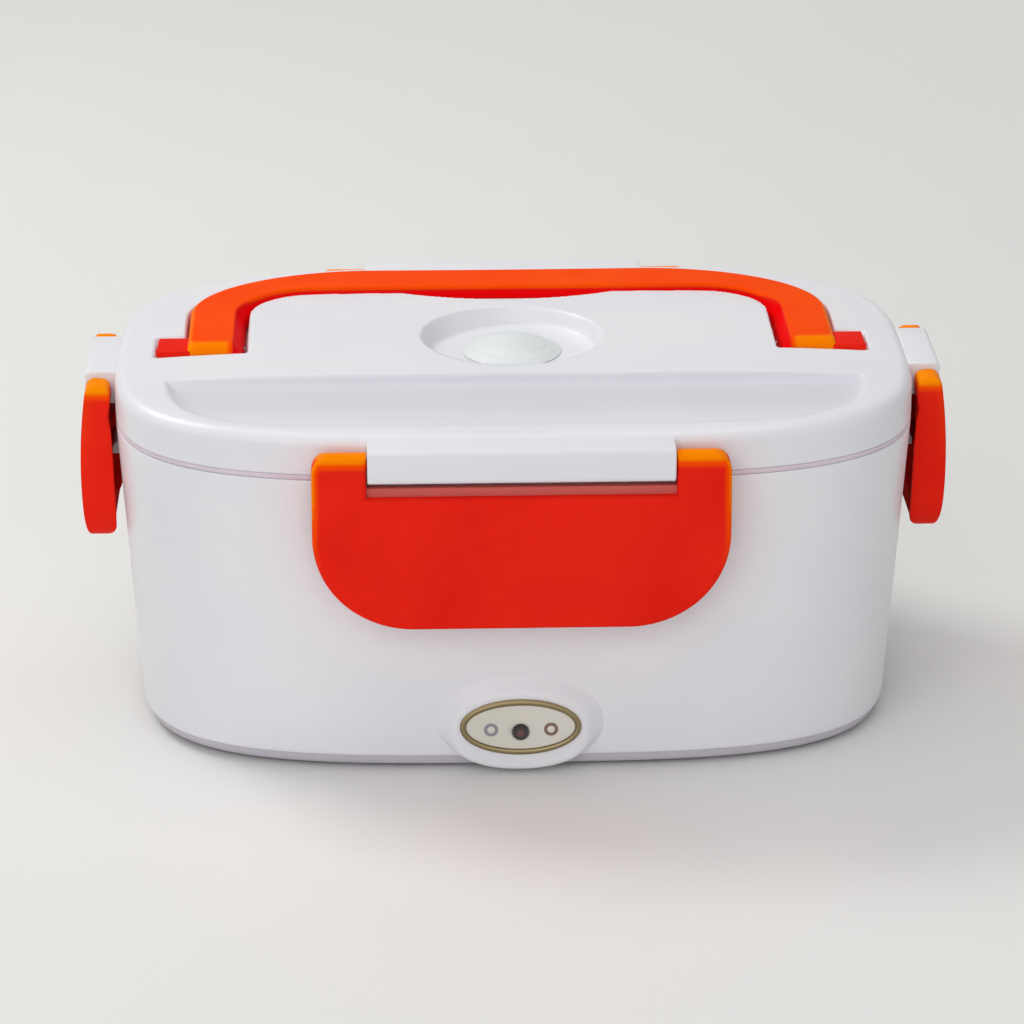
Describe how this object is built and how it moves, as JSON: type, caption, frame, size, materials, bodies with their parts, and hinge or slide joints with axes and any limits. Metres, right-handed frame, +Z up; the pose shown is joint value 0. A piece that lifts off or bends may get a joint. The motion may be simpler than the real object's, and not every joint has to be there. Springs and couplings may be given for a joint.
{
  "type": "electric lunch box",
  "caption": "Heated lunch box: tapered white tub with lift-out container, latched lid with folding carry handle, vent plug and power inlet.",
  "frame": {"origin": "on the table under the middle of the box", "axes": "+X to the right along the box's length, +Y to the rear, +Z up; the badge faces -Y"},
  "size_m": [0.2358, 0.1638, 0.1002],
  "materials": {
    "white_shell": "glossy white moulded plastic with a faint cool cast",
    "white_liner": "satin white moulded plastic",
    "white_container": "satin white food-safe plastic",
    "steel_plate": "fine brushed steel",
    "silicone": "matt pale silicone",
    "heater_case": "plain extruded aluminium",
    "clamp_steel": "rolled steel strip",
    "zinc_steel": "zinc plated steel",
    "black_plastic": "satin black plastic",
    "ceramic_tan": "glazed tan body with bare leads",
    "board_green": "green circuit board",
    "led_red": "clear red moulding",
    "cover_plastic": "satin pale plastic",
    "foot_rubber": "matt grey rubber",
    "pin_brass": "bright brass",
    "badge_plate": "grey-beige printed plate under clear film",
    "badge_gold": "pale gold trim",
    "lamp_window": "smoked lens",
    "lead_brown": "sleeved lead",
    "lead_blue": "sleeved lead",
    "lead_grey": "sleeved lead",
    "seal_silicone": "pinkish clear silicone",
    "vent_silicone": "soft white silicone",
    "orange_plastic": "glossy orange-red moulded plastic"
  },
  "bodies": {
    "base": {"outer_shell": "white_shell", "cavity_liner": "white_liner", "heating_plate": "steel_plate", "plate_seal": "silicone", "heater_element": "heater_case", "heater_clamp": "clamp_steel", "clamp_nuts": "zinc_steel", "thermostat": "black_plastic", "thermal_fuse": "ceramic_tan", "led_board": "board_green", "indicator_led": "led_red", "base_cover": "cover_plastic", "base_screws": "zinc_steel", "rubber_feet": "foot_rubber", "inlet_socket": "black_plastic", "inlet_pins": "pin_brass", "panel_badge": "badge_plate", "badge_ring": "badge_gold", "lamp_lens": "lamp_window", "live_lead": "lead_brown", "fuse_lead": "lead_brown", "neutral_lead": "lead_blue", "lamp_leads": "lead_grey"},
    "container": {"food_container": "white_container"},
    "lid": {"lid_shell": "white_shell", "lid_liner": "white_liner", "lid_seal": "seal_silicone"},
    "vent": {"vent_plug": "vent_silicone"},
    "handle": {"handle": "orange_plastic"},
    "front_latch": {"front_latch": "orange_plastic"},
    "rear_latch": {"rear_latch": "orange_plastic"},
    "left_latch": {"left_latch": "orange_plastic"},
    "right_latch": {"right_latch": "orange_plastic"}
  },
  "joints": [
    {"name": "container_lift", "type": "slide", "parent": "base", "child": "container", "axis": [0, 0, 1], "range_m": [0, 0.075]},
    {"name": "lid_lift", "type": "slide", "parent": "container", "child": "lid", "axis": [0, 0, 1], "range_m": [0, 0.06]},
    {"name": "vent_lift", "type": "slide", "parent": "lid", "child": "vent", "axis": [0, 0, 1], "range_m": [0, 0.005]},
    {"name": "handle_swing", "type": "hinge", "parent": "lid", "child": "handle", "pos_m": [0, 0, 0.0947], "axis": [1, 0, 0], "range_deg": [0, 100]},
    {"name": "front_latch_swing", "type": "hinge", "parent": "lid", "child": "front_latch", "pos_m": [0, -0.0773, 0.0917], "axis": [-1, 0, 0], "range_deg": [-3.5, 115]},
    {"name": "rear_latch_swing", "type": "hinge", "parent": "lid", "child": "rear_latch", "pos_m": [0, 0.0773, 0.0917], "axis": [1, 0, 0], "range_deg": [-3.5, 115]},
    {"name": "left_latch_swing", "type": "hinge", "parent": "lid", "child": "left_latch", "pos_m": [-0.1133, 0, 0.0917], "axis": [0, 1, 0], "range_deg": [-3.5, 115]},
    {"name": "right_latch_swing", "type": "hinge", "parent": "lid", "child": "right_latch", "pos_m": [0.1133, 0, 0.0917], "axis": [0, -1, 0], "range_deg": [-3.5, 115]}
  ]
}
